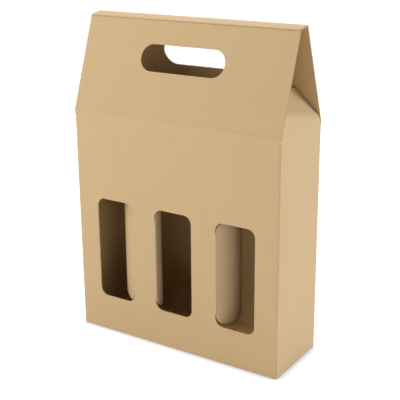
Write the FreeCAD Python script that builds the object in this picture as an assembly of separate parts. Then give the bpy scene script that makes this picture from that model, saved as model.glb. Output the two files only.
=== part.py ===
import FreeCAD, Part
import math
import os

# Three-bottle carrier box of thin corrugated board, millimetres.
# X runs along the front wall, Y from the front to the back, Z up.
# The origin is the middle of the base. The front wall faces -Y.

# Overall size of the closed box
width = 270.0
depth = 93.0
shoulder_height = 270.0
ridge_height = 379.0
ridge_width = 15.0

# Board
board = 1.5
crease_radius = 2.0
hinge_gap = 0.3
flap_clearance = 0.4

# Windows in the front wall
window_width = 50.0
window_height = 123.5
window_sill = 44.5
window_pitch = 81.5
window_corner = 10.0
flap_hinge_corner = 12.5

# Window flaps: the angle at the crease, and the radius that the board has curled to
left_flap_angle = 33.0
left_flap_curl = 140.0
middle_flap_angle = 90.0
middle_flap_curl = 30.0
right_flap_angle = 36.0
right_flap_curl = 30.0

# Hand holes, measured along the slope from the ridge
hand_hole_length = 109.4
hand_hole_height = 30.8
hand_hole_drop = 31.0

# Tuck flap of the lid
tuck_length = 24.0
tuck_inset = 4.0
tuck_corner = 8.0

# End dust flaps under the gable
dust_length = 48.0
dust_lean = 4.0
dust_bend = 38.0
dust_bend_rear_rise = 7.0
dust_bend_front_rise = 26.0
dust_bend_radius = 12.0

# Locked bottom
rear_bottom_reach = 56.0
rear_bottom_ramp = 14.0
side_bottom_reach = 62.0
side_bottom_ramp = 12.0
side_bottom_taper = 14.0
front_bottom_reach = 58.0
front_bottom_taper = 16.0
tongue_width = 78.0
tongue_ramp = 6.0
tongue_tip = 11.0
tongue_corner = 7.0
tongue_slot_margin = 1.5
base_edge_radius = 1.2

# Glue flap inside the back wall
glue_width = 25.0
glue_margin = 6.0
glue_chamfer = 10.0

Vector = FreeCAD.Vector
half_width = width / 2
half_depth = depth / 2
half_ridge = ridge_width / 2
inner_half_width = half_width - board
inner_half_depth = half_depth - board
X_AXIS = Vector(1, 0, 0)
Z_AXIS = Vector(0, 0, 1)

slope_rise = ridge_height - shoulder_height
slope_run = half_depth - half_ridge
slope_length = math.hypot(slope_run, slope_rise)
slope_up = Vector(0, slope_run, slope_rise) / slope_length
slope_out = Vector(0, -slope_rise, slope_run) / slope_length


def box_between(low, high):
    """A block from its lowest to its highest corner."""
    size = high - low
    return Part.makeBox(size.x, size.y, size.z, low)


def prism(points, direction):
    """A prism on a flat outline of points."""
    return Part.Face(Part.makePolygon(points + points[:1])).extrude(direction)


def mirror_front_to_back(shape):
    return shape.mirror(Vector(0, 0, 0), Vector(0, 1, 0))


def mirror_left_to_right(shape):
    return shape.mirror(Vector(0, 0, 0), Vector(1, 0, 0))


def left_of(direction):
    """The unit vector on the left of a direction in the YZ plane."""
    return Vector(0, -direction.z, direction.y)


def bent_strip(points, radius, length):
    """A strip of board bent along a line of points in the YZ plane, as long as length in X.

    The points are on its outer face, the board is on their left and every bend turns left.
    """
    legs = [(b - a).normalize() for a, b in zip(points, points[1:])]
    inner_offset = [left_of(leg) * board for leg in legs]
    outer, inner = [], []
    outer_at, inner_at = points[0], points[0] + inner_offset[0]
    for corner, before, after in zip(points[1:-1], legs, legs[1:]):
        tangent = radius * math.tan(before.getAngle(after) / 2)
        arc_start = corner - before * tangent
        arc_end = corner + after * tangent
        centre = arc_start + left_of(before) * radius
        middle = (left_of(before) + left_of(after)).normalize()
        outer.append(Part.makeLine(outer_at, arc_start))
        outer.append(Part.Arc(arc_start, centre - middle * radius, arc_end).toShape())
        inner_start = arc_start + left_of(before) * board
        inner_end = arc_end + left_of(after) * board
        inner.append(Part.makeLine(inner_at, inner_start))
        inner.append(Part.Arc(inner_start, centre - middle * (radius - board), inner_end).toShape())
        outer_at, inner_at = arc_end, inner_end
    last_inner = points[-1] + inner_offset[-1]
    outer.append(Part.makeLine(outer_at, points[-1]))
    inner.append(Part.makeLine(inner_at, last_inner))
    ends = [Part.makeLine(points[0], points[0] + inner_offset[0]), Part.makeLine(points[-1], last_inner)]
    edges = Part.__sortEdges__(outer + inner + ends)
    strip = Part.Face(Part.Wire(edges)).extrude(X_AXIS * length)
    strip.translate(X_AXIS * (-length / 2))
    return strip


def round_corners(solid, radius, is_corner):
    """Rounds the short edges through the board where is_corner says so."""
    edges = [edge for edge in solid.Edges if is_corner(edge)]
    return solid.makeFillet(radius, edges)


def rounded_window(low, high, radius):
    """A cutter through the front wall with rounded corners."""
    block = box_between(low, high)
    edges = [edge for edge in block.Edges if abs(edge.tangentAt(edge.FirstParameter).y) > 0.9]
    return block.makeFillet(radius, edges)


def stadium_through_slope(length, height, drop):
    """A cutter with round ends, square to the front slope, drop below the ridge line."""
    radius = height / 2
    reach = 4 * board
    centre = Vector(0, -half_ridge, ridge_height) - slope_up * (drop + radius)
    base = centre - slope_out * reach
    straight = X_AXIS * (length / 2 - radius)
    corners = [
        base - straight - slope_up * radius,
        base + straight - slope_up * radius,
        base + straight + slope_up * radius,
        base - straight + slope_up * radius,
    ]
    cutter = prism(corners, slope_out * (2 * reach))
    for side in (-1, 1):
        cutter = cutter.fuse(Part.makeCylinder(radius, 2 * reach, base + straight * side, slope_out))
    return cutter.removeSplitter()


def above_shoulder():
    """All the space above the shoulder creases."""
    return box_between(
        Vector(-width, -depth, shoulder_height + hinge_gap / 2),
        Vector(width, depth, 2 * ridge_height),
    )


def front_handle_panel():
    """The front slope with its hand hole; its top edge is cut square."""
    top = Vector(0, -half_ridge, ridge_height)
    below_shoulder = Vector(0, -half_depth, shoulder_height) - slope_up * crease_radius
    panel = bent_strip([top, below_shoulder], crease_radius, width)
    panel = panel.common(above_shoulder())
    return panel.cut(stadium_through_slope(hand_hole_length, hand_hole_height, hand_hole_drop))


def rear_handle_panel():
    """The lid: rear slope, flat ridge and the tuck flap behind the front slope."""
    rear_down = Vector(0, slope_up.y, -slope_up.z)
    below_shoulder = Vector(0, half_depth, shoulder_height) + rear_down * crease_radius
    rear_ridge = Vector(0, half_ridge, ridge_height)
    front_offset = (board + hinge_gap) / -slope_out.y
    front_ridge = Vector(0, -half_ridge + front_offset, ridge_height)
    tuck_end = front_ridge - slope_up * tuck_length
    lid = bent_strip([below_shoulder, rear_ridge, front_ridge, tuck_end], crease_radius, width)
    lid = lid.common(above_shoulder())
    hand_hole = stadium_through_slope(hand_hole_length, hand_hole_height, hand_hole_drop)
    lid = lid.cut(mirror_front_to_back(hand_hole))
    return shape_tuck(lid, front_ridge.z - slope_up.z * tuck_length)


def shape_tuck(lid, tuck_foot):
    """Sets the tuck flap in from the ends and rounds its free corners."""
    tuck_top = ridge_height - crease_radius
    for side in (-1, 1):
        inner_x = side * (half_width - tuck_inset)
        outer_x = side * width
        low = Vector(min(inner_x, outer_x), -half_depth, tuck_foot - board)
        high = Vector(max(inner_x, outer_x), half_ridge - 3 * board, tuck_top)
        lid = lid.cut(box_between(low, high))

    def is_corner(edge):
        middle = edge.CenterOfMass
        at_end = abs(abs(middle.x) - (half_width - tuck_inset)) < 0.1
        return at_end and abs(edge.Length - board) < 0.1 and middle.z < tuck_foot + board

    return round_corners(lid, tuck_corner, is_corner)


def sleeve():
    """The four walls as a tube with rounded creases."""
    outer = box_between(Vector(-half_width, -half_depth, 0), Vector(half_width, half_depth, shoulder_height))
    upright = [edge for edge in outer.Edges if abs(edge.tangentAt(edge.FirstParameter).z) > 0.9]
    outer = outer.makeFillet(crease_radius, upright)
    foot = [edge for edge in outer.Edges if edge.BoundBox.ZMax < 0.01]
    outer = outer.makeFillet(base_edge_radius, foot)
    inner = box_between(
        Vector(-inner_half_width, -inner_half_depth, -board),
        Vector(inner_half_width, inner_half_depth, shoulder_height + board),
    )
    upright = [edge for edge in inner.Edges if abs(edge.tangentAt(edge.FirstParameter).z) > 0.9]
    inner = inner.makeFillet(crease_radius - board, upright)
    walls = outer.cut(inner)
    for side in (-1, 1):
        low_y, high_y = sorted((side * (inner_half_depth - flap_clearance), side * depth))
        hinge_slot = box_between(
            Vector(-width, low_y, shoulder_height - hinge_gap / 2),
            Vector(width, high_y, shoulder_height + board),
        )
        walls = walls.cut(hinge_slot)
    return walls


def front_bottom_flap():
    """The outermost bottom flap, with the tongue that locks over the rear flap."""
    crease_y = -half_depth + board / 2
    free_y = crease_y + front_bottom_reach
    crease_x = inner_half_width
    free_x = crease_x - front_bottom_taper
    outline = [
        Vector(-crease_x, crease_y, 0),
        Vector(crease_x, crease_y, 0),
        Vector(free_x, free_y, 0),
        Vector(-free_x, free_y, 0),
    ]
    flap = prism(outline, Z_AXIS * board)
    locked_height = 3 * board
    ramp_end = free_y + tongue_ramp
    tip_end = ramp_end + tongue_tip
    profile = [
        Vector(0, free_y - board, 0),
        Vector(0, free_y, 0),
        Vector(0, ramp_end, locked_height),
        Vector(0, tip_end, locked_height),
        Vector(0, tip_end, locked_height + board),
        Vector(0, ramp_end - board / 2, locked_height + board),
        Vector(0, free_y - board, board),
    ]
    tongue = prism(profile, X_AXIS * tongue_width)
    tongue.translate(X_AXIS * (-tongue_width / 2))

    def is_corner(edge):
        middle = edge.CenterOfMass
        at_tip = abs(middle.y - tip_end) < 0.01
        return at_tip and abs(edge.Length - board) < 0.01

    tongue = round_corners(tongue, tongue_corner, is_corner)
    return flap.fuse(tongue)


def rear_bottom_flap():
    """The innermost bottom flap: it rises over the side flaps and has the tongue's slot."""
    crease_y = half_depth - board / 2
    ramp_y = crease_y - rear_bottom_ramp
    free_y = crease_y - rear_bottom_reach
    layer = 2 * board
    profile = [
        Vector(0, crease_y, 0),
        Vector(0, crease_y, board),
        Vector(0, ramp_y, layer + board),
        Vector(0, free_y, layer + board),
        Vector(0, free_y, layer),
        Vector(0, ramp_y, layer),
    ]
    flap = prism(profile, X_AXIS * (2 * inner_half_width))
    flap.translate(X_AXIS * -inner_half_width)
    slot_half = tongue_width / 2 + tongue_slot_margin
    slot_end = -half_depth + board / 2 + front_bottom_reach + tongue_ramp
    slot = box_between(
        Vector(-slot_half, free_y - board, board),
        Vector(slot_half, slot_end, layer + 2 * board),
    )
    return flap.cut(slot)


def side_bottom_flap():
    """The right one of the two side flaps, between the front and the rear flap."""
    crease_x = half_width - board / 2
    ramp_x = crease_x - side_bottom_ramp
    free_x = crease_x - side_bottom_reach
    profile = [
        Vector(crease_x, 0, 0),
        Vector(crease_x, 0, board),
        Vector(ramp_x, 0, 2 * board),
        Vector(free_x, 0, 2 * board),
        Vector(free_x, 0, board),
        Vector(ramp_x, 0, board),
    ]
    flap = prism(profile, Vector(0, 2 * inner_half_depth, 0))
    flap.translate(Vector(0, -inner_half_depth, 0))
    for side in (-1, 1):
        crease_point = Vector(crease_x, side * inner_half_depth, -board)
        free_point = Vector(free_x, side * (inner_half_depth - side_bottom_taper), -board)
        outside = Vector(free_x, side * depth, -board)
        flap = flap.cut(prism([crease_point, free_point, outside], Z_AXIS * (5 * board)))
    return flap


def glue_flap():
    """The lap that closes the sleeve, stuck to the inside of the back wall at the right corner."""
    low_z = glue_margin
    high_z = shoulder_height - glue_margin
    outer_x = inner_half_width
    inner_x = outer_x - glue_width
    y = inner_half_depth
    outline = [
        Vector(outer_x, y, low_z),
        Vector(inner_x, y, low_z + glue_chamfer),
        Vector(inner_x, y, high_z - glue_chamfer),
        Vector(outer_x, y, high_z),
    ]
    return prism(outline, Vector(0, -board, 0))


def under_gable():
    """The space between the two slopes, clear of their inner faces."""
    offset = (board + flap_clearance) / -slope_out.y
    foot = shoulder_height - board
    return prism(
        [
            Vector(-width, -inner_half_depth + flap_clearance, foot),
            Vector(-width, -half_depth + offset, shoulder_height),
            Vector(-width, -half_ridge + offset, ridge_height),
            Vector(-width, half_ridge - offset, ridge_height),
            Vector(-width, half_depth - offset, shoulder_height),
            Vector(-width, inner_half_depth - flap_clearance, foot),
        ],
        X_AXIS * (2 * width),
    )


def dust_flap():
    """The right end flap: it leans in from its crease, then bends in along a slanting line."""
    bend_front = Vector(half_width, -half_depth, shoulder_height + dust_bend_front_rise)
    bend_rear = Vector(half_width, half_depth, shoulder_height + dust_bend_rear_rise)
    bend_axis = (bend_rear - bend_front).normalize()
    reach = 2 * dust_length
    turn = math.radians(dust_bend)
    leaning_in = Vector(0, -math.sin(turn), math.cos(turn))
    flap = bent_strip([Z_AXIS * -reach, Vector(0, 0, 0), leaning_in * reach], dust_bend_radius, 3 * depth)
    flap.rotate(Vector(0, 0, 0), Z_AXIS, -90)
    flap.rotate(Vector(0, 0, 0), X_AXIS, math.degrees(math.atan2(bend_axis.z, bend_axis.y)))
    flap.translate(bend_front)
    free_edge = shoulder_height + dust_length
    beyond = box_between(Vector(-width, -2 * depth, free_edge), Vector(2 * width, 2 * depth, free_edge + reach))
    beyond.rotate(bend_front, bend_axis, -dust_bend)
    flap = flap.cut(beyond)
    flap = flap.common(box_between(
        Vector(-width, -half_depth, shoulder_height),
        Vector(width, half_depth, 2 * ridge_height),
    ))
    flap.rotate(Vector(half_width, 0, shoulder_height), Vector(0, 1, 0), -dust_lean)
    return flap.common(under_gable())


def windows():
    """The three window cutters."""
    cutters = []
    for place in (-1, 0, 1):
        centre = place * window_pitch
        low = Vector(centre - window_width / 2, -half_depth - board, window_sill)
        high = Vector(centre + window_width / 2, -half_depth + 2 * board, window_sill + window_height)
        cutters.append(rounded_window(low, high, window_corner))
    return cutters


def carton():
    """The folded sheet: walls, locked bottom, dust flaps and glue flap in one piece."""
    right_side = [side_bottom_flap(), dust_flap()]
    left_side = [mirror_left_to_right(shape) for shape in right_side]
    folds = [front_bottom_flap(), rear_bottom_flap(), glue_flap()]
    body = sleeve().multiFuse(right_side + left_side + folds)
    for cutter in windows():
        body = body.cut(cutter)
    return body.removeSplitter()


def corner_cutter(radius, along, up):
    """What is cut off an upright sheet's corner to round it: along and up point to the corner."""
    past = radius + board
    low = Vector(min(0, along * past), -2 * board, min(0, up * past))
    high = Vector(max(0, along * past), 2 * board, max(0, up * past))
    round_end = Part.makeCylinder(radius, 6 * board, Vector(0, -3 * board, 0), Vector(0, 1, 0))
    return box_between(low, high).cut(round_end)


def window_flap(centre, hinge_side, angle, curl):
    """A window's cut-out, creased at one upright edge and pushed in.

    hinge_side is -1 for a crease at the window's left edge and 1 for its right edge. The angle is
    the turn from the wall at the crease, and curl the radius of the board from there on.
    """
    hinge = Vector(centre + hinge_side * window_width / 2, -inner_half_depth, window_sill + hinge_gap)
    height = window_height - 2 * hinge_gap
    start = math.radians(angle) + hinge_gap / curl
    end = math.radians(angle) + (window_width - hinge_gap) / curl
    middle = (start + end) / 2
    curl_centre = Vector(-math.sin(math.radians(angle)), math.cos(math.radians(angle)), 0) * curl

    def at(turn, radius):
        return curl_centre + Vector(math.sin(turn), -math.cos(turn), 0) * radius

    outer_radius = curl + board
    edges = [
        Part.Arc(at(start, curl), at(middle, curl), at(end, curl)).toShape(),
        Part.makeLine(at(end, curl), at(end, outer_radius)),
        Part.Arc(at(end, outer_radius), at(middle, outer_radius), at(start, outer_radius)).toShape(),
        Part.makeLine(at(start, outer_radius), at(start, curl)),
    ]
    flap = Part.Face(Part.Wire(edges)).extrude(Z_AXIS * height)
    for edge_turn, along, corner in ((start, -1, flap_hinge_corner), (end, 1, window_corner)):
        corner_turn = corner / outer_radius
        cut_radius = outer_radius * math.sin(corner_turn)
        centre_turn = edge_turn - along * corner_turn
        for foot, up in ((cut_radius, -1), (height - cut_radius, 1)):
            cutter = corner_cutter(cut_radius, along, up)
            cutter.rotate(Vector(0, 0, 0), Z_AXIS, math.degrees(centre_turn))
            cutter.translate(at(centre_turn, curl) + Z_AXIS * foot)
            flap = flap.cut(cutter)
    if hinge_side > 0:
        flap = mirror_left_to_right(flap)
    flap.translate(hinge)
    return flap


def all_parts():
    return {
        "carton": carton(),
        "front_handle_panel": front_handle_panel(),
        "rear_handle_panel": rear_handle_panel(),
        "left_window_flap": window_flap(-window_pitch, 1, left_flap_angle, left_flap_curl),
        "middle_window_flap": window_flap(0, -1, middle_flap_angle, middle_flap_curl),
        "right_window_flap": window_flap(window_pitch, -1, right_flap_angle, right_flap_curl),
    }


os.makedirs("parts", exist_ok=True)
for name, shape in all_parts().items():
    shape.exportStep(f"parts/{name}.step")
    box = shape.BoundBox
    print(name, shape.isValid(), len(shape.Solids), f"{shape.Volume:.0f} mm3",
          f"x {box.XMin:.1f}..{box.XMax:.1f}", f"y {box.YMin:.1f}..{box.YMax:.1f}",
          f"z {box.ZMin:.1f}..{box.ZMax:.1f}")
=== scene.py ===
# %% [markdown]
# # A bottle carrier of corrugated board
#
# The carrier is one die-cut sheet of thin corrugated board that is folded, glued once and locked
# at the bottom. It is empty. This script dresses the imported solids: it gives the board its paper
# faces and open cut edges, its creases and its colour, and sets up the stage, light and camera.

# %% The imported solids
import math
import random
import bpy
from mathutils import Matrix, Vector


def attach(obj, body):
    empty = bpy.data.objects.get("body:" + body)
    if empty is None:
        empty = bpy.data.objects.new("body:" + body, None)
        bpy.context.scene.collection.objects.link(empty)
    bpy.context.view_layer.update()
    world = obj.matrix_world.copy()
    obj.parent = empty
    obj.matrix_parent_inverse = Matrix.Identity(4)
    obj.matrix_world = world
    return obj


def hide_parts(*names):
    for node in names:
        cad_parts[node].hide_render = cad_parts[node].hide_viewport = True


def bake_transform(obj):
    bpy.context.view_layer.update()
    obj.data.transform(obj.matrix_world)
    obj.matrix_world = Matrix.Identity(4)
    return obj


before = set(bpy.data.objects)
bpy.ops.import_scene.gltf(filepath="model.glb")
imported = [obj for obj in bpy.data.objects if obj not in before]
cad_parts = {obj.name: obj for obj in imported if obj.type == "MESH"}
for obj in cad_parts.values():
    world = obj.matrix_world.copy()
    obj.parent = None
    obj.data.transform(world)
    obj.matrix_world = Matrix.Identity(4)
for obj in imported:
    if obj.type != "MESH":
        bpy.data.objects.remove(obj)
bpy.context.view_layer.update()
MM = 0.001
print("nodes", sorted(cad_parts))

# %% [markdown]
# ## The camera
#
# The box is seen from its right, a little from above. The lens, the place and the turn were fitted
# to the corners of the box in the picture, so they are set as numbers and not by eye. A small
# shift keeps the upright edges as upright as the picture has them.

# %% The camera
LENS, SENSOR_WIDTH = 80.21, 36
SHIFT = -0.05
CAMERA_PLACE = Vector((0.5391, -0.8152, 0.4966))
AZIMUTH, ELEVATION, ROLL = (math.radians(angle) for angle in (33.12, 17.19, -0.45))


def looking_turn(azimuth, elevation, roll):
    """The camera's axes as a rotation, from where it stands and how it is rolled."""
    back = Vector((math.sin(azimuth) * math.cos(elevation),
                   -math.cos(azimuth) * math.cos(elevation),
                   math.sin(elevation)))
    right = (-back).cross(Vector((0, 0, 1))).normalized()
    up = right.cross(-back)
    side = right * math.cos(roll) + up * math.sin(roll)
    top = up * math.cos(roll) - right * math.sin(roll)
    return Matrix((side, top, back)).transposed().to_4x4()


bpy.ops.object.camera_add()
camera = bpy.context.object
camera.name = "camera"
camera.data.lens = LENS
camera.data.sensor_width = SENSOR_WIDTH
camera.data.shift_y = SHIFT
camera.matrix_world = Matrix.Translation(CAMERA_PLACE) @ looking_turn(AZIMUTH, ELEVATION, ROLL)
bpy.context.scene.camera = camera
print("camera at", tuple(round(v, 3) for v in CAMERA_PLACE))

# %% [markdown]
# ## The stage
#
# A white table under a white sky gives the clean picture of a catalogue. The table is brighter to
# the camera than it is to the box, so that it turns white in the picture and doesn't flood the box
# with light from below. An Ambient Occlusion node dims the white close to the box, which leaves
# the narrow soft shadow at its foot.

# %% What the camera sees and what gives light
FLOOR_SIZE, FLOOR_DROP = 24, 0.2
WHITE = (1, 1, 1, 1)
TABLE_SEEN, TABLE_SEEN_GLOW = 0.25, 1.0
CONTACT_REACH, CONTACT_SAMPLES = 0.012, 16
TABLE_LIGHTING, TABLE_LIGHTING_GLOW = 0.8, 0.42
SKY_SEEN, SKY_LIGHTING = 1.05, 0.25


def seen_or_lighting(tree, seen, lighting, output):
    """The camera and the paper's sheen see one shader, and soft light bounces off the other."""
    rays = tree.nodes.new("ShaderNodeLightPath")
    either = tree.nodes.new("ShaderNodeMath")
    either.operation = "MAXIMUM"
    tree.links.new(rays.outputs["Is Camera Ray"], either.inputs[0])
    tree.links.new(rays.outputs["Is Glossy Ray"], either.inputs[1])
    mix = tree.nodes.new("ShaderNodeMixShader")
    tree.links.new(either.outputs[0], mix.inputs["Fac"])
    tree.links.new(lighting.outputs[0], mix.inputs[1])
    tree.links.new(seen.outputs[0], mix.inputs[2])
    tree.links.new(mix.outputs[0], output.inputs["Surface"])


def matt_glow(shader, tone, glow):
    """A matt grey with a glow of its own."""
    shader.inputs["Base Color"].default_value = (tone, tone, tone, 1)
    shader.inputs["Roughness"].default_value = 1
    shader.inputs["Specular IOR Level"].default_value = 0
    shader.inputs["Emission Color"].default_value = WHITE
    shader.inputs["Emission Strength"].default_value = glow


# %% The table
table_material = bpy.data.materials.new("white_table")
table_material.use_nodes = True
tree = table_material.node_tree
seen = tree.nodes["Principled BSDF"]
lighting = tree.nodes.new("ShaderNodeBsdfPrincipled")
matt_glow(seen, TABLE_SEEN, TABLE_SEEN_GLOW)
matt_glow(lighting, TABLE_LIGHTING, TABLE_LIGHTING_GLOW)
contact = tree.nodes.new("ShaderNodeAmbientOcclusion")
contact.samples = CONTACT_SAMPLES
contact.inputs["Distance"].default_value = CONTACT_REACH
tree.links.new(contact.outputs["Color"], seen.inputs["Emission Color"])
seen_or_lighting(tree, seen, lighting, tree.nodes["Material Output"])

bpy.ops.mesh.primitive_plane_add(size=FLOOR_SIZE, location=(0, 0, -FLOOR_DROP * MM))
floor = bpy.context.object
floor.name = "floor"
floor.data.materials.append(table_material)
print("table", FLOOR_SIZE, "m wide")

# %% The sky
sky = bpy.data.worlds.new("sky")
sky.use_nodes = True
tree = sky.node_tree
lighting = tree.nodes["Background"]
lighting.inputs["Color"].default_value = WHITE
lighting.inputs["Strength"].default_value = SKY_LIGHTING
seen = tree.nodes.new("ShaderNodeBackground")
seen.inputs["Color"].default_value = WHITE
seen.inputs["Strength"].default_value = SKY_SEEN
seen_or_lighting(tree, seen, lighting, tree.nodes["World Output"])
bpy.context.scene.world = sky
bpy.context.scene.view_settings.view_transform = "Standard"
print("sky light", SKY_LIGHTING)

# %% [markdown]
# ## The light
#
# Two lamps at the left of the front wall make that wall fade a little to the right. A strong one
# at the right and a little behind keeps the end wall the lightest face and passes by the windows,
# so that their insides stay dark. A weak one at the right front reaches into the gable's end, and
# one above the back turns the ridge pale.

# %% The light
WARM, COOL = (1.0, 0.97, 0.93), (0.96, 0.99, 1.06)
BOX_MIDDLE, BOX_LEFT, BOX_UPPER = (0, 0, 0.2), (-0.05, 0, 0.2), (0, 0, 0.25)


def soft_lamp(name, place, target, size, power, colour):
    """A square lamp that faces the target and isn't seen itself."""
    bpy.ops.object.light_add(type="AREA", location=place)
    lamp = bpy.context.object
    lamp.name = name
    lamp.data.size = size
    lamp.data.energy = power
    lamp.data.color = colour
    lamp.rotation_euler = (Vector(target) - Vector(place)).to_track_quat("-Z", "Y").to_euler()
    lamp.visible_camera = False


# name, place, target, size in metres, power in watts, colour
soft_lamp("lamp_left_high", (-0.6, -0.8, 1.3), BOX_LEFT, 0.6, 10.8, WARM)
soft_lamp("lamp_left", (-0.75, -0.9, 0.6), BOX_LEFT, 0.6, 3.8, WARM)
soft_lamp("lamp_right_front", (1.6, -0.9, 0.6), BOX_MIDDLE, 0.8, 4.4, COOL)
soft_lamp("lamp_right_back", (1.7, 0.9, 0.9), BOX_MIDDLE, 1.2, 22.5, COOL)
soft_lamp("lamp_above_back", (-0.3, 1.0, 1.9), BOX_UPPER, 0.8, 24.0, COOL)

# %% [markdown]
# ## Paper
#
# Kraft paper is light brown with darker and paler fibres, a little cloudiness and a few flecks.
# An image could show that, but noise textures on the piece's own coordinates stay sharp close up
# and fit every piece. What all the papers share is one node group, with its own values in each
# material.

# %% Node helpers
def place_node(tree, kind, inputs=(), **settings):
    """A node with its settings and inputs; an input that is a socket gets a link."""
    node = tree.nodes.new(kind)
    for name, value in settings.items():
        setattr(node, name, value)
    for key, value in dict(inputs).items():
        if isinstance(value, bpy.types.NodeSocket):
            tree.links.new(value, node.inputs[key])
        else:
            node.inputs[key].default_value = value
    return node


def calculate(tree, operation, first, second=0.0, third=0.0):
    """The result of one Math node."""
    inputs = {0: first, 1: second, 2: third}
    return place_node(tree, "ShaderNodeMath", inputs, operation=operation).outputs[0]


def scale_colour(tree, colour, tone):
    """The colour times a tone that changes over the surface."""
    inputs = {0: colour, "Scale": tone}
    return place_node(tree, "ShaderNodeVectorMath", inputs, operation="SCALE").outputs[0]


def new_group(name, inputs, outputs):
    """An empty node group with named sockets."""
    tree = bpy.data.node_groups.new(name, "ShaderNodeTree")
    for label, kind, value in inputs:
        tree.interface.new_socket(label, in_out="INPUT", socket_type=kind).default_value = value
    for label, kind in outputs:
        tree.interface.new_socket(label, in_out="OUTPUT", socket_type=kind)
    return tree, tree.nodes.new("NodeGroupInput").outputs, tree.nodes.new("NodeGroupOutput").inputs


def own_coordinates(tree):
    return place_node(tree, "ShaderNodeTexCoord").outputs["Object"]


def noise(tree, scale, detail, stretch=(1, 1, 1)):
    """Noise on the piece's own coordinates, features about 1/scale metres wide."""
    inputs = {"Vector": own_coordinates(tree), "Scale": stretch}
    mapped = place_node(tree, "ShaderNodeMapping", inputs).outputs[0]
    inputs = {"Vector": mapped, "Scale": scale, "Detail": detail}
    return place_node(tree, "ShaderNodeTexNoise", inputs).outputs["Fac"]


def centred_noise(tree, *values):
    """Noise that swings about zero."""
    return calculate(tree, "SUBTRACT", noise(tree, *values), 0.5)


# %% The kraft paper group
FLOAT, COLOUR = "NodeSocketFloat", "NodeSocketColor"
CLOUD_SCALE, FIBRE_SCALE, FINE_SCALE, FLECK_SCALE, DARKENING_SCALE = 28, 420, 1900, 700, 34
UPRIGHT, LEVEL, FLECK_SHAPE = (1, 1, 0.25), (0.3, 0.3, 1), (1, 1, 0.6)
FLECK_FROM, FLECK_FULL = 0.74, 0.80
DARKENING_TOP, DARKENING_LEAST = 0.085, 0.2
ROUGHNESS, ROUGHNESS_SWING = 0.78, 0.25


def darker_near_base(tree):
    """A cloudy darkening that fades out with the height above the table."""
    height = place_node(tree, "ShaderNodeSeparateXYZ", {0: own_coordinates(tree)}).outputs["Z"]
    inputs = {0: height, 1: DARKENING_TOP, 2: 0.0, 3: 0.0, 4: 1.0}
    near_base = place_node(
        tree, "ShaderNodeMapRange", inputs, interpolation_type="SMOOTHSTEP").outputs[0]
    cloudy = calculate(tree, "ADD", noise(tree, DARKENING_SCALE, 4), DARKENING_LEAST)
    return calculate(tree, "MULTIPLY", near_base, cloudy)


def kraft_paper_group():
    tree, given, result = new_group(
        "kraft_paper",
        [("Paper", COLOUR, (0.5, 0.35, 0.18, 1)), ("Clouds", FLOAT, 0.03),
         ("Fibres", FLOAT, 0.06), ("Flecks", FLOAT, 0.25), ("Fibre height", FLOAT, 0.00001),
         ("Base darkening", FLOAT, 0.0)],
        [("Color", COLOUR), ("Roughness", FLOAT), ("Height", FLOAT)])
    clouds = centred_noise(tree, CLOUD_SCALE, 3)
    long_fibres = centred_noise(tree, FIBRE_SCALE, 4, UPRIGHT)
    cross_fibres = centred_noise(tree, FINE_SCALE, 2, LEVEL)
    fibres = calculate(tree, "ADD", long_fibres, cross_fibres)
    fleck_noise = noise(tree, FLECK_SCALE, 1, FLECK_SHAPE)
    inputs = {0: fleck_noise, 1: FLECK_FROM, 2: FLECK_FULL, 3: 0.0, 4: 1.0}
    flecks = place_node(tree, "ShaderNodeMapRange", inputs).outputs[0]
    tone = calculate(tree, "MULTIPLY_ADD", clouds, given["Clouds"], 1.0)
    tone = calculate(tree, "MULTIPLY_ADD", fibres, given["Fibres"], tone)
    for mark, strength in ((flecks, "Flecks"), (darker_near_base(tree), "Base darkening")):
        tone = calculate(tree, "SUBTRACT", tone, calculate(tree, "MULTIPLY", mark, given[strength]))
    roughness = calculate(tree, "MULTIPLY_ADD", fibres, ROUGHNESS_SWING, ROUGHNESS)
    height = calculate(tree, "MULTIPLY", fibres, given["Fibre height"])
    tree.links.new(scale_colour(tree, given["Paper"], tone), result["Color"])
    tree.links.new(roughness, result["Roughness"])
    tree.links.new(height, result["Height"])
    return bpy.data.node_groups["kraft_paper"]


kraft_paper = kraft_paper_group()
print("group", kraft_paper.name, len(kraft_paper.nodes), "nodes")

# %% The flute group
FLUTE_PITCH = 3.3
ACROSS = "across"
WOBBLE_SCALE, WOBBLE, STRENGTH_SCALE, STRENGTH_SWING = 60, 0.6, 16, 2.0


def flute_lines_group():
    """Faint stripes where the paper sinks between the flutes, from the distance across them: a bump
    and painted shade.
    """
    tree, given, result = new_group(
        "flute_lines",
        [("Depth", FLOAT, 0.00002), ("Shade", FLOAT, 0.02)],
        [("Painted flute shade", FLOAT), ("Height", FLOAT)])
    across = place_node(tree, "ShaderNodeAttribute", attribute_name=ACROSS).outputs["Fac"]
    wobble = centred_noise(tree, WOBBLE_SCALE, 2)
    place = calculate(tree, "MULTIPLY_ADD", wobble, WOBBLE, across)
    turn = calculate(tree, "MULTIPLY", place, 2 * math.pi / FLUTE_PITCH)
    swing = centred_noise(tree, STRENGTH_SCALE, 2)
    strength = calculate(tree, "MULTIPLY_ADD", swing, STRENGTH_SWING, 1.0)
    wave = calculate(tree, "MULTIPLY", calculate(tree, "SINE", turn), strength)
    # Painted shade: the colour darkens and lightens in step with the flutes' bump.
    tree.links.new(calculate(tree, "MULTIPLY_ADD", wave, given["Shade"], 1.0), result["Painted flute shade"])
    tree.links.new(calculate(tree, "MULTIPLY", wave, given["Depth"]), result["Height"])
    return bpy.data.node_groups["flute_lines"]


flute_lines = flute_lines_group()
print("group", flute_lines.name, "with a flute every", FLUTE_PITCH, "mm")

# %% [markdown]
# ## The papers of the board
#
# The outer face of the board is the smoothest and a little darker in clouds near the base. The inner
# face is duller, and the painted shade of its flutes shows more. A cut edge and the wavy medium in it
# show raw fibre, which is paler, and the torn paper is coloured dark as painted shadow. Each is a
# material of its own.

# %% The materials
MOTTLE = ("Clouds", "Fibres", "Flecks", "Fibre height", "Base darkening")


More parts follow.
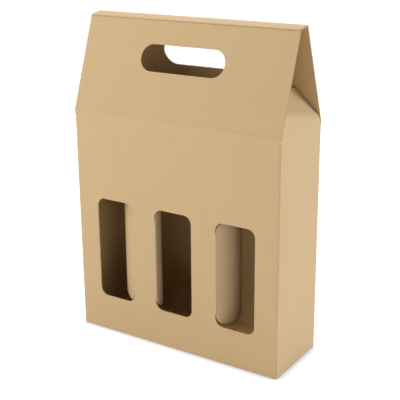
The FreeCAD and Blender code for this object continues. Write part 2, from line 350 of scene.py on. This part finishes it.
def paper_material(name, colour, sheen, mottle, flutes=None):
    """Kraft paper: mottle gives the group's values in order, flutes the depth and the painted shade.
    """
    material = bpy.data.materials.new(name)
    material.use_nodes = True
    tree = material.node_tree
    shader = tree.nodes["Principled BSDF"]
    paper = place_node(
        tree, "ShaderNodeGroup", {"Paper": (*colour, 1), **dict(zip(MOTTLE, mottle))},
        node_tree=kraft_paper)
    tint, height = paper.outputs["Color"], paper.outputs["Height"]
    if flutes:
        inputs = dict(zip(("Depth", "Shade"), flutes))
        lines = place_node(tree, "ShaderNodeGroup", inputs, node_tree=flute_lines)
        # The flutes' painted shade darkens the colour in stripes.
        tint = scale_colour(tree, tint, lines.outputs["Painted flute shade"])
        height = calculate(tree, "ADD", height, lines.outputs["Height"])
    tree.links.new(tint, shader.inputs["Base Color"])
    tree.links.new(paper.outputs["Roughness"], shader.inputs["Roughness"])
    bump = place_node(tree, "ShaderNodeBump", {"Height": height, "Distance": 1.0, "Strength": 1.0})
    tree.links.new(bump.outputs["Normal"], shader.inputs["Normal"])
    shader.inputs["Specular IOR Level"].default_value = sheen
    return material


outer_paper = paper_material(
    "outer_paper", (0.49, 0.344, 0.18), 0.4, (0.05, 0.07, 0.25, 0.000010, 0.035), (0.000012, 0.007))
inner_paper = paper_material(
    "inner_paper", (0.49, 0.335, 0.155), 0.1, (0.06, 0.12, 0.25, 0.000014, 0.0), (0.000020, 0.016))
cut_paper = paper_material(
    "cut_paper", (0.60, 0.45, 0.26), 0.2, (0.05, 0.3, 0.2, 0.00003, 0.0))
medium_paper = paper_material(
    "medium_paper", (0.52, 0.375, 0.20), 0.2, (0.05, 0.3, 0.2, 0.00003, 0.0))
# Painted shadow: the torn paper is coloured dark for the shade in the gap between an end flap's
# ragged edge and the lid.
torn_paper_painted_shadow = paper_material(
    "torn_paper_painted_shadow", (0.27, 0.18, 0.09), 0.1, (0.05, 0.5, 0.2, 0.00005, 0.0))
PAPERS = (outer_paper, inner_paper, cut_paper)
OUTER, INNER, CUT = range(3)
print("materials", [material.name for material in bpy.data.materials])

# %% [markdown]
# ## From solid to board
#
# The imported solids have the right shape, but a real cut edge isn't a plain strip: it shows two thin
# papers with a hollow between them. A copy of the solid is cleaned, its cut edges are picked, inset
# by a paper's thickness and pushed in. That keeps every size, and the copy stands in for the solid.

# %% Sizes of the box, in millimetres
WIDTH, DEPTH, SHOULDER, RIDGE, RIDGE_WIDTH = 270.0, 93.0, 270.0, 379.0, 15.0
BOARD, LINER, HOLLOW_DEPTH = 1.5, 0.25, 1.1
HALF_WIDTH, HALF_DEPTH, HALF_RIDGE = WIDTH / 2, DEPTH / 2, RIDGE_WIDTH / 2
SLOPE = Vector((0, HALF_DEPTH - HALF_RIDGE, RIDGE - SHOULDER))
SLOPE_LENGTH, SLOPE_UP = SLOPE.length, SLOPE.normalized()
SLOPE_OUT = Vector((0, -SLOPE_UP.z, SLOPE_UP.y))
REAR_UP = Vector((0, -SLOPE_UP.y, SLOPE_UP.z))
REAR_OUT = Vector((0, -SLOPE_OUT.y, SLOPE_OUT.z))
SLOPES = (("front", -1, SLOPE_UP, SLOPE_OUT), ("rear", 1, REAR_UP, REAR_OUT))
print("slope length", round(SLOPE_LENGTH, 1))

# %% Picking faces
SMOOTH_TURN = math.radians(40)


def select_only(piece):
    bpy.ops.object.select_all(action="DESELECT")
    piece.select_set(True)
    bpy.context.view_layer.objects.active = piece


def pick_faces(piece, test):
    """Selects the faces where test(centre in millimetres, normal) holds."""
    select_only(piece)
    bpy.context.tool_settings.mesh_select_mode = (False, False, True)
    bpy.ops.object.mode_set(mode="EDIT")
    bpy.ops.mesh.select_all(action="DESELECT")
    bpy.ops.object.mode_set(mode="OBJECT")
    for face in piece.data.polygons:
        face.select = bool(test(face.center / MM, face.normal))


def picked(piece):
    return [face.index for face in piece.data.polygons if face.select]


def grow_smooth(piece, is_seed):
    """The faces that join a seed face without a sharp edge, as a paper runs on over its folds."""
    pick_faces(piece, is_seed)
    bpy.ops.object.mode_set(mode="EDIT")
    bpy.ops.mesh.faces_select_linked_flat(sharpness=SMOOTH_TURN)
    bpy.ops.object.mode_set(mode="OBJECT")
    return set(picked(piece))


# %% Opening the cut edges
FLAT_TURN = math.radians(0.5)
BOARD_WELD = 0.005


def open_edges(piece, depth=HOLLOW_DEPTH):
    """Insets the picked cut edges by a paper's thickness and pushes what is between them in."""
    bpy.ops.object.mode_set(mode="EDIT")
    bpy.ops.mesh.inset(thickness=LINER * MM, depth=0, use_even_offset=True, use_boundary=True)
    bpy.ops.mesh.extrude_region_shrink_fatten(
        TRANSFORM_OT_shrink_fatten={"value": -depth * MM, "use_even_offset": False})
    bpy.ops.object.mode_set(mode="OBJECT")


def board_copy(node):
    """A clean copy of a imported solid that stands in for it."""
    piece = bpy.data.objects.new(node + "_board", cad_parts[node].data.copy())
    bpy.context.scene.collection.objects.link(piece)
    piece.data.materials.clear()
    for paper in PAPERS:
        piece.data.materials.append(paper)
    select_only(piece)
    bpy.ops.mesh.customdata_custom_splitnormals_clear()
    bpy.ops.object.mode_set(mode="EDIT")
    bpy.ops.mesh.select_all(action="SELECT")
    bpy.ops.mesh.remove_doubles(threshold=BOARD_WELD * MM)
    bpy.ops.mesh.dissolve_limited(angle_limit=FLAT_TURN)
    bpy.ops.object.mode_set(mode="OBJECT")
    return piece


# %% Finishing a board
def measure_across(piece, across):
    """Writes the distance across the flutes on every corner of every face."""
    attribute = piece.data.attributes.new(ACROSS, "FLOAT", "CORNER")
    for face in piece.data.polygons:
        for corner in face.loop_indices:
            point = piece.data.vertices[piece.data.loops[corner].vertex_index].co / MM
            attribute.data[corner].value = across(point, face.normal)


def finish_board(piece, node, body, across):
    measure_across(piece, across)
    select_only(piece)
    bpy.ops.object.shade_smooth_by_angle(angle=SMOOTH_TURN)
    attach(piece, body)
    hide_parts(node)
    print(piece.name, len(piece.data.polygons), "faces")


# %% A flap or a panel
def move_points(piece, place):
    for vertex in piece.data.vertices:
        vertex.co = place(vertex.co / MM) * MM


def cut_sheet(node, outer_seed, inner_seed, is_kept_closed, across, settle=None, hold=None):
    """Outer paper, inner paper and, all round, the open cut edge.

    settle moves the solid's points before the edges open, and hold moves them after it.
    """
    piece = board_copy(node)
    if settle:
        move_points(piece, settle)
    outer = grow_smooth(piece, outer_seed)
    inner = grow_smooth(piece, inner_seed)
    papers = outer | inner
    pick_faces(piece, lambda centre, normal: False)
    for face in piece.data.polygons:
        is_cut = face.index not in papers
        face.material_index = CUT if is_cut else OUTER if face.index in outer else INNER
        face.select = is_cut and not is_kept_closed(face.center / MM, face.normal)
    open_edges(piece)
    if hold:
        move_points(piece, hold)
    finish_board(piece, node, node, across)


# %% The two handle panels
FLAT_FACE = 0.99
HINGE_ZONE = 0.5
PANEL_DIP, RIDGE_DIP, DIP_ZONE = 3.2, 2.3, 370.0


def along_x(point, normal):
    return point.x


def lowered(dip):
    """The front panel stands a little low, and the ridge leans forward over its edge."""
    return lambda point: point - SLOPE_UP * dip if point.y < 0 and point.z > DIP_ZONE else point


for end, side, up, out in SLOPES:
    cut_sheet(
        f"{end}_handle_panel",
        lambda centre, normal: normal.dot(out) > FLAT_FACE,
        lambda centre, normal: normal.dot(out) < -FLAT_FACE,
        lambda centre, normal: centre.z < SHOULDER + HINGE_ZONE,
        along_x,
        settle=lowered(PANEL_DIP if side < 0 else RIDGE_DIP))

# %% [markdown]
# ## The carton
#
# The carton is the same sheet folded round: four walls, a locked bottom, two end flaps and a glue
# flap. Its outer paper runs on over every rounded fold, so it is picked from one seed on the front
# wall. The window rims and the end flaps' free edges are the cut edges that show.

# %% Windows, in millimetres
WINDOW_WIDTH, WINDOW_HEIGHT, WINDOW_SILL = 50.0, 123.5, 44.5
WINDOW_PITCH, WINDOW_CORNER = 81.5, 10.0
WINDOW_TOP, WINDOW_MID = WINDOW_SILL + WINDOW_HEIGHT, WINDOW_SILL + WINDOW_HEIGHT / 2
FRONT_MIDDLE = -HALF_DEPTH + BOARD / 2
print("windows from", WINDOW_SILL, "to", WINDOW_TOP)

# %% Where the carton's cut edges are
RIM_MARGIN, RIM_REACH = 1.0, 110.0
WALL_TOLERANCE = 0.1
SIDE_FLAP_LOW, SIDE_FLAP_HIGH = 1.4, 3.1
# How much of a face's normal lies along an axis
NEARLY_ALL, MOST, SOME, LITTLE, HARDLY_ANY = 0.9, 0.6, 0.3, 0.2, 0.1


def is_front_face(centre, normal):
    return normal.y < -FLAT_FACE and abs(centre.y + HALF_DEPTH) < WALL_TOLERANCE


def is_window_rim(centre, normal):
    in_wall = abs(centre.y - FRONT_MIDDLE) < BOARD / 3 and abs(normal.y) < HARDLY_ANY
    at_window = WINDOW_SILL - RIM_MARGIN < centre.z < WINDOW_TOP + RIM_MARGIN
    return in_wall and at_window and abs(centre.x) < RIM_REACH


def is_dust_flap_edge(centre, normal):
    faces_in = normal.x * centre.x < 0 and normal.z > LITTLE
    return centre.z > SHOULDER + RIM_MARGIN and (abs(normal.x) < SOME or faces_in)


def across_carton(point, normal):
    """Along X on the long walls and their flaps, along Y on the end walls and theirs."""
    on_end_wall = abs(normal.x) > MOST or point.z > SHOULDER
    on_side_flap = abs(normal.z) > NEARLY_ALL and SIDE_FLAP_LOW < point.z < SIDE_FLAP_HIGH
    return point.y if on_end_wall or on_side_flap else point.x


# %% The carton
carton = board_copy("carton")
outer = grow_smooth(carton, is_front_face)
for face in carton.data.polygons:
    face.material_index = OUTER if face.index in outer else INNER
for is_cut, depth in ((is_window_rim, HOLLOW_DEPTH), (is_dust_flap_edge, HOLLOW_DEPTH / 2)):
    pick_faces(carton, is_cut)
    for index in picked(carton):
        carton.data.polygons[index].material_index = CUT
    print("cut edge", len(picked(carton)), "faces")
    open_edges(carton, depth)
finish_board(carton, "carton", "carton", across_carton)

# %% [markdown]
# ## The window flaps
#
# Each window's cut-out is still creased to the wall at one upright edge and pushed in, where it has
# kept a curl. The flap is a strip rolled about an upright line, so the way round that line gives
# the distance across its flutes.

# %% The curl of a flap
HINGE_GAP, HINGE_CORNER, HINGE_END = 0.3, 12.5, 0.2
CURLED_FACE = 0.98
STRAY_LIFT, STRAY_TURN = 0.02, 0.001
FLAPS = {  # window's middle, side of the crease, angle at the crease, radius of the curl
    "left_window_flap": (-WINDOW_PITCH, 1, 33.0, 140.0),
    "middle_window_flap": (0.0, -1, 90.0, 30.0),
    "right_window_flap": (WINDOW_PITCH, -1, 36.0, 30.0),
}


def level(vector):
    """The vector without its height."""
    return vector * Vector((1, 1, 0))


class Curl:
    """The rolled sheet of one flap: its pivot, the line it curls about, and places on it."""

    def __init__(self, middle, side, angle, radius):
        self.side, self.angle, self.radius = side, math.radians(angle), radius
        self.pivot = Vector((middle + side * WINDOW_WIDTH / 2, -HALF_DEPTH + BOARD, 0))
        self.centre = self.pivot + self.ray(self.angle) * -radius
        self.free = self.angle + (WINDOW_WIDTH - HINGE_GAP) / radius

    def turn_of(self, away):
        return math.atan2(-self.side * away.x, -away.y)

    def ray(self, turn):
        """Outwards from the curl's line, at a turn from the wall's outward direction."""
        return Vector((-self.side * math.sin(turn), -math.cos(turn), 0))

    def tangent(self, turn):
        return Vector((-self.side * math.cos(turn), math.sin(turn), 0))

    def at(self, turn, height, lift):
        """A place lift millimetres outwards from the inner face."""
        up = Vector((0, 0, WINDOW_SILL + HINGE_GAP + height))
        return self.centre + self.ray(turn) * (self.radius + lift) + up

    def across(self, point, normal):
        return (self.turn_of(point - self.centre) - self.angle) * (self.radius + BOARD / 2)

    def facing(self, centre, normal):
        """1 on the outer paper and -1 on the inner one."""
        return normal.dot(level(centre - self.centre).normalized())

    def is_hinge_end(self, centre, normal):
        return self.across(centre, normal) < HINGE_GAP + HINGE_END

    def held(self, point):
        """A point that the opening pushed out of the sheet goes back between its papers."""
        away = level(point - self.centre)
        lift, turn = away.length - self.radius, self.turn_of(away)
        if -STRAY_LIFT < lift < BOARD + STRAY_LIFT and turn < self.free + STRAY_TURN:
            return point
        lift = min(max(lift, LINER), BOARD - LINER)
        up = Vector((0, 0, point.z))
        return self.centre + self.ray(min(turn, self.free)) * (self.radius + lift) + up


# %% The window flaps
curls = {node: Curl(*values) for node, values in FLAPS.items()}
for node, curl in curls.items():
    cut_sheet(
        node,
        lambda centre, normal: curl.facing(centre, normal) > CURLED_FACE,
        lambda centre, normal: curl.facing(centre, normal) < -CURLED_FACE,
        curl.is_hinge_end,
        curl.across,
        hold=curl.held)

# %% [markdown]
# ## Flutes in the cut edges
#
# Between the two papers runs a third one, the wavy medium. Where a cut crosses the flutes the edge
# shows its waves, and where it runs along them the last flute lies open as a slanting strip. A
# ribbon is laid along each edge: a grid with one column per step, each column lifted by the wave
# at its own distance across the flutes. That gives the right pattern on straight edges and round
# corners alike, and a Solidify modifier gives the ribbon its paper thickness.

# %% Outlines of the cuts
FLUTE_STEP = FLUTE_PITCH / 8


def rounded_outline(half_u, half_v, corner):
    """Points (u, v) with their outward normals round a rectangle with round corners."""
    straight_u, straight_v = half_u - corner, half_v - corner
    turns = max(3, round(corner * math.pi / 2 / FLUTE_STEP))
    points = []
    for side_u, side_v, first, run, way_u, way_v in (
            (1, 1, 0, straight_u, -1, 0), (-1, 1, 90, straight_v, 0, -1),
            (-1, -1, 180, straight_u, 1, 0), (1, -1, 270, straight_v, 0, 1)):
        for i in range(turns + 1):
            turn = math.radians(first + 90 * i / turns)
            nu, nv = math.cos(turn), math.sin(turn)
            u, v = side_u * straight_u + corner * nu, side_v * straight_v + corner * nv
            points.append((u, v, nu, nv))
        count = round(2 * run / FLUTE_STEP)
        for i in range(1, count):
            gone = 2 * run * i / count
            points.append((u + way_u * gone, v + way_v * gone, nu, nv))
    return points


def straight_outline(start, end, normal, step=FLUTE_STEP):
    """Points along a straight edge from start to end."""
    (u0, v0), (u1, v1) = start, end
    count = max(2, round(math.dist(start, end) / step))
    return [(u0 + (u1 - u0) * i / count, v0 + (v1 - v0) * i / count, *normal)
            for i in range(count + 1)]


# %% A grid as a sheet of paper
def paper_grid(name, columns, rows, place):
    """A grid whose points go to place(column, height), with height from -1 to 1."""
    bpy.ops.object.select_all(action="DESELECT")
    bpy.ops.mesh.primitive_grid_add(x_subdivisions=columns, y_subdivisions=rows, size=2)
    sheet = bpy.context.object
    sheet.name = sheet.data.name = name
    for vertex in sheet.data.vertices:
        column = round((vertex.co.x + 1) / 2 * columns)
        vertex.co = place(column, vertex.co.y) * MM
    select_only(sheet)
    return sheet


def thicken(sheet, thickness):
    """Gives the sheet its thickness, half to each side."""
    modifier = sheet.modifiers.new("paper", "SOLIDIFY")
    modifier.thickness = thickness * MM
    modifier.offset = 0
    bpy.ops.object.modifier_apply(modifier=modifier.name)


# %% Laying a ribbon
MEDIUM, RECESS, RIBBON_WELD = 0.18, 0.12, 0.002
WAVE_HEIGHT = (BOARD - 2 * LINER - MEDIUM) / 2


def flute_ribbon(name, body, columns, closed):
    """A ribbon of medium. A column is (place, way in, sheet's normal, across, its change)."""
    def on_wave(column, height):
        place, into, sheet, across, change = columns[column % len(columns)]
        deep = RECESS if height < 0 else HOLLOW_DEPTH
        wave = math.sin((across + change * deep) * 2 * math.pi / FLUTE_PITCH)
        return place + into * deep + sheet * (WAVE_HEIGHT * wave)

    ribbon = paper_grid(name, len(columns) if closed else len(columns) - 1, 1, on_wave)
    bpy.ops.object.mode_set(mode="EDIT")
    bpy.ops.mesh.select_all(action="SELECT")
    bpy.ops.mesh.remove_doubles(threshold=RIBBON_WELD * MM)
    bpy.ops.mesh.normals_make_consistent(inside=False)
    bpy.ops.object.mode_set(mode="OBJECT")
    thicken(ribbon, MEDIUM)
    bpy.ops.object.shade_smooth_by_angle(angle=SMOOTH_TURN)
    ribbon.data.materials.append(medium_paper)
    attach(ribbon, body)
    print(name, len(columns), "columns")


def flat_columns(outline, origin, way_u, way_v, sheet, into):
    """Columns of a flat sheet: into is 1 for a hole's rim and -1 for an outer edge."""
    return [(origin + way_u * u + way_v * v, (way_u * nu + way_v * nv) * into, sheet,
             (origin + way_u * u).x, nu * into * way_u.x) for u, v, nu, nv in outline]


# %% Window rims
X, Z = Vector((1, 0, 0)), Vector((0, 0, 1))
FRONT = Vector((0, -1, 0))
outline = rounded_outline(WINDOW_WIDTH / 2, WINDOW_HEIGHT / 2, WINDOW_CORNER)
for number, middle in enumerate((-WINDOW_PITCH, 0.0, WINDOW_PITCH), 1):
    origin = Vector((middle, FRONT_MIDDLE, WINDOW_MID))
    columns = flat_columns(outline, origin, X, Z, FRONT, 1)
    flute_ribbon(f"window_{number}_flutes", "carton", columns, True)

# %% Hand holes
HOLE_LENGTH, HOLE_HEIGHT, HOLE_DROP, HAIR = 109.4, 30.8, 31.0, 0.01
HOLE_CORNER = HOLE_HEIGHT / 2 - HAIR
outline = rounded_outline(HOLE_LENGTH / 2, HOLE_HEIGHT / 2, HOLE_CORNER)
for end, side, up, out in SLOPES:
    ridge_point = Vector((0, side * HALF_RIDGE, RIDGE))
    origin = ridge_point - up * (HOLE_DROP + HOLE_HEIGHT / 2) - out * (BOARD / 2)
    columns = flat_columns(outline, origin, X, up, out, 1)
    flute_ribbon(f"{end}_hand_hole_flutes", f"{end}_handle_panel", columns, True)

# %% Panel edges
EDGE_FOOT, EDGE_INSET, SIDE_STEP = 1.0, 0.3, 4.0
FRONT_TOP, REAR_TOP = SLOPE_LENGTH - PANEL_DIP, SLOPE_LENGTH - BOARD


def slope_foot(side, out):
    """The middle of the board where a slope starts."""
    return Vector((0, side * HALF_DEPTH, SHOULDER)) - out * (BOARD / 2)


for end, side, up, out in SLOPES:
    body = f"{end}_handle_panel"
    top = (FRONT_TOP if side < 0 else REAR_TOP) - EDGE_INSET
    for hand, name in ((-1, "left"), (1, "right")):
        x = hand * HALF_WIDTH
        outline = straight_outline((x, EDGE_FOOT), (x, top), (hand, 0), SIDE_STEP)
        columns = flat_columns(outline, slope_foot(side, out), X, up, out, -1)
        flute_ribbon(f"{body}_{name}_flutes", body, columns, False)

right = HALF_WIDTH - EDGE_INSET
outline = straight_outline((-right, FRONT_TOP), (right, FRONT_TOP), (0, 1))
columns = flat_columns(outline, slope_foot(-1, SLOPE_OUT), X, SLOPE_UP, SLOPE_OUT, -1)
flute_ribbon("front_handle_panel_top_flutes", "front_handle_panel", columns, False)

# %% Flap edges
FIRST_COLUMN, FREE_STEPS = 1.15, 12


def edge_columns(curl):
    """Columns along the lower edge, up the free edge and back along the upper edge."""
    middle_radius, outer_radius = curl.radius + BOARD / 2, curl.radius + BOARD
    corner_turn = WINDOW_CORNER / outer_radius
    corner_radius = outer_radius * math.sin(corner_turn)
    corner_centre = curl.free - corner_turn
    first = curl.angle + FIRST_COLUMN * HINGE_CORNER / curl.radius

    def column(turn, z, normal_along, normal_up):
        turn = min(turn, curl.free)
        into = curl.tangent(turn) * -normal_along + Z * -normal_up
        across = (turn - curl.angle) * middle_radius
        return curl.at(turn, z, BOARD / 2), into, curl.ray(turn), across, -normal_along

    steps = round((corner_centre - first) * middle_radius / FLUTE_STEP)
    quarter = round(corner_radius * math.pi / 2 / FLUTE_STEP)
    lower = [column(first + (corner_centre - first) * i / steps, 0, 0, -1)
             for i in range(steps + 1)]
    for i in range(1, quarter + 1):
        turn = math.pi / 2 * i / quarter
        along = math.asin(min(1, corner_radius * math.sin(turn) / middle_radius))
        z = corner_radius * (1 - math.cos(turn))
        lower.append(column(corner_centre + along, z, math.sin(turn), -math.cos(turn)))
    upright = WINDOW_HEIGHT - 2 * HINGE_GAP - 2 * corner_radius
    free = [column(curl.free, corner_radius + upright * i / FREE_STEPS, 1, 0)
            for i in range(1, FREE_STEPS)]
    upper = [(Vector((place.x, place.y, 2 * WINDOW_MID - place.z)), into * Vector((1, 1, -1)),
              sheet, across, change) for place, into, sheet, across, change in reversed(lower)]
    return lower + free + upper


for node, curl in curls.items():
    flute_ribbon(f"{node}_flutes", node, edge_columns(curl), False)

# %% [markdown]
# ## Torn paper at the end flaps
#
# The end flaps were cut roughly: where each one meets the lid a ragged fringe of its paper stands
# up along the edge. Its dark colour is painted shadow of the gap behind it. The fringe is a
# two-row grid, and its free row gets a seeded random height.

# %% The fringes
FRINGE_SEED, FRINGE_STEP = 11, 1.1
FRINGE_LINE = ((134.7, 43.1, 273.8), (133.4, 41.4, 278.6), (131.4, 40.3, 281.7),
               (124.0, 37.0, 290.8), (116.7, 33.8, 299.7), (109.4, 30.7, 308.4))
TEARS, TEAR_SPREAD = (0.4, 0.8, 1.4, 2.2, 3.4), (0.7, 1.1)
FRINGE_DEPTH, FRINGE_OUT, FRINGE_LEANS = 0.25, 0.15, (0.1, 0.7)


def spaced_points(corners, step):
    """Points every step millimetres along a broken line."""
    points = []
    for start, end in zip(corners, corners[1:]):
        start, end = Vector(start), Vector(end)
        count = max(1, round((end - start).length / step))
        points += [start.lerp(end, i / count) for i in range(count)]
    return points + [Vector(corners[-1])]


dice = random.Random(FRINGE_SEED)
for hand, name in ((-1, "left"), (1, "right")):
    line = spaced_points([(hand * x, y, z) for x, y, z in FRINGE_LINE], FRINGE_STEP)
    heights = [dice.choice(TEARS) * dice.uniform(*TEAR_SPREAD) for _ in line]
    leans = [dice.uniform(*FRINGE_LEANS) for _ in line]

    def torn(column, height):
        place = line[column] + REAR_OUT * -FRINGE_DEPTH
        if height > 0:
            place = place + REAR_UP * heights[column] + REAR_OUT * (FRINGE_OUT - leans[column])
        return place

    fringe = paper_grid(f"{name}_end_flap_fringe", len(line) - 1, 1, torn)
    thicken(fringe, MEDIUM)
    fringe.data.materials.append(torn_paper_painted_shadow)
    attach(fringe, "carton")
    print(fringe.name, len(line), "columns")

# %% [markdown]
# ## Creases
#
# At a hinge the real sheet isn't cut: its outer paper runs on round the fold. A thin strip of that
# paper is laid over each of the five creases. The strip is a grid whose columns follow the fold's
# section. Its long edges dip just under the paper on both sides, and its middle stands a hair proud,
# as a scored fold does.

# %% A strip over a crease
SKIN, SKIN_ROWS, BURIED = 0.1, 6, 0.09


def paper_strip(name, section, way, low, high, thickness=SKIN, rows=SKIN_ROWS, crumple=None):
    """A strip of paper: section is a row of points, drawn out along way from low to high."""
    def drawn_out(column, height):
        along = low + (high - low) * (height + 1) / 2
        place = section[column] + way * along
        return place + crumple(column, along) if crumple else place

    skin = paper_grid(name, len(section) - 1, rows, drawn_out)
    thicken(skin, thickness)
    skin.data.materials.append(outer_paper)
    measure_across(skin, lambda point, normal: point.x if way == X else 0.0)
    bpy.ops.object.shade_smooth_by_angle(angle=SMOOTH_TURN)
    print(name, len(skin.data.polygons), "faces")
    return skin


def bend_between(skin, child, start, end):
    """Bakes the strip's transform into its points."""
    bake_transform(skin)


def bead(distance, height, spread):
    """How far the strip stands off the paper at a distance from the fold."""
    return (height + BURIED) * math.exp(-((distance / spread) ** 2)) - BURIED


# %% The crushed end of the front crease
STEPS = (-4.0, -3.0, -2.2, -1.6, -1.2, -0.8, -0.5, -0.3, -0.15, 0.0,
         0.15, 0.3, 0.5, 0.8, 1.2, 1.6, 2.2, 3.0, 4.0)
CRUMPLE_ROWS, CRUMPLE_FROM, CRUMPLE_FULL = 90, 30.0, 85.0
CRUMPLE_HEIGHT, CRUMPLE_SPREAD = 0.6, 1.6
WAVE_MEAN, WAVES = 0.5, ((0.3, 4.1, 0.0), (0.2, 1.9, 1.0))
SWAY, SWAY_LENGTH = 0.6, 7.0


def crumpled(out):
    """The crease is a little crushed towards its right end, where hands have bent it."""
    def offset(column, along):
        share = (along - CRUMPLE_FROM) / (CRUMPLE_FULL - CRUMPLE_FROM)
        share = min(max(share, 0.0), 1.0)
        waves = WAVE_MEAN
        for size, length, start in WAVES:
            waves += size * math.sin(along / length + start)
        from_fold = STEPS[column] + SWAY * math.sin(along / SWAY_LENGTH)
        fade = math.exp(-(from_fold / CRUMPLE_SPREAD) ** 2)
        return out * (CRUMPLE_HEIGHT * share * waves * fade)
    return offset


# %% Shoulder creases
SHOULDER_BEAD, SHOULDER_SPREAD, FOLD_MIDDLE = 0.14, 2.2, 0.2
END_MARGIN, TURN_ZONE = 0.2, 0.35

for end, side, up, out in SLOPES:
    child = f"{end}_handle_panel"
    corner = Vector((0, side * HALF_DEPTH, SHOULDER))
    wall_out = Vector((0, side, 0))
    middle_out = (wall_out + out).normalized()
    section = []
    for step in STEPS:
        way_out = middle_out if abs(step) < FOLD_MIDDLE else wall_out if step < 0 else out
        place = corner + (Z if step < 0 else up) * step
        section.append(place + way_out * bead(step, SHOULDER_BEAD, SHOULDER_SPREAD))
    skin = paper_strip(
        f"{child}_crease", section, X, -HALF_WIDTH + END_MARGIN, HALF_WIDTH - END_MARGIN,
        rows=CRUMPLE_ROWS, crumple=crumpled(middle_out) if side < 0 else None)
    bend_between(skin, child, corner - Z * TURN_ZONE, corner + up * TURN_ZONE)

# %% Window flap creases
LAP, LAP_STEPS, ARC_STEP, LEAST_ARC_STEPS = 2.5, 6, 8, 5
FLAP_BEAD, FLAP_SPREAD = 0.06, 1.4
STRIP_MARGIN, TURN_HEIGHT = 0.4, 100

for node, curl in curls.items():
    section = []
    for i in range(LAP_STEPS):
        lap = LAP * (1 - i / LAP_STEPS)
        lift = BOARD + bead(lap, FLAP_BEAD, FLAP_SPREAD)
        section.append(curl.pivot + X * (curl.side * lap) + Vector((0, -lift, 0)))
    arc_steps = max(LEAST_ARC_STEPS, round(math.degrees(curl.angle) / ARC_STEP))
    for i in range(arc_steps + 1):
        section.append(curl.pivot + curl.ray(curl.angle * i / arc_steps) * (BOARD + FLAP_BEAD))
    for i in range(1, LAP_STEPS + 1):
        lap = LAP * i / LAP_STEPS
        lift = BOARD + bead(lap, FLAP_BEAD, FLAP_SPREAD)
        section.append(level(curl.at(curl.angle + lap / curl.radius, 0, lift)))
    skin = paper_strip(
        f"{node}_crease", section, Z, WINDOW_SILL + HINGE_CORNER + STRIP_MARGIN,
        WINDOW_TOP - HINGE_CORNER - STRIP_MARGIN)
    bend_between(skin, node, curl.pivot + curl.ray(0) * BOARD + Z * TURN_HEIGHT,
                 curl.pivot + curl.ray(curl.angle) * BOARD + Z * TURN_HEIGHT)

# %% [markdown]
# ## The ridge's front lip
#
# The lid's ridge is folded over the front panel's top edge and stands a little proud of it, so a
# thin shadow runs along under the ridge.

# %% The lip
LIP_PAPER, LIP_END = 0.3, 0.2
LIP_SECTION = ((-1.0, 377.66), (-2.5, 377.42), (-5.0, 376.95), (-7.0, 376.58),
               (-8.3, 376.34), (-9.0, 376.1), (-9.45, 375.75), (-9.65, 375.2))
lip = paper_strip(
    "ridge_lip", [Vector((0, y, z)) for y, z in LIP_SECTION], X,
    -HALF_WIDTH + LIP_END, HALF_WIDTH - LIP_END, LIP_PAPER)
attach(lip, "rear_handle_panel")
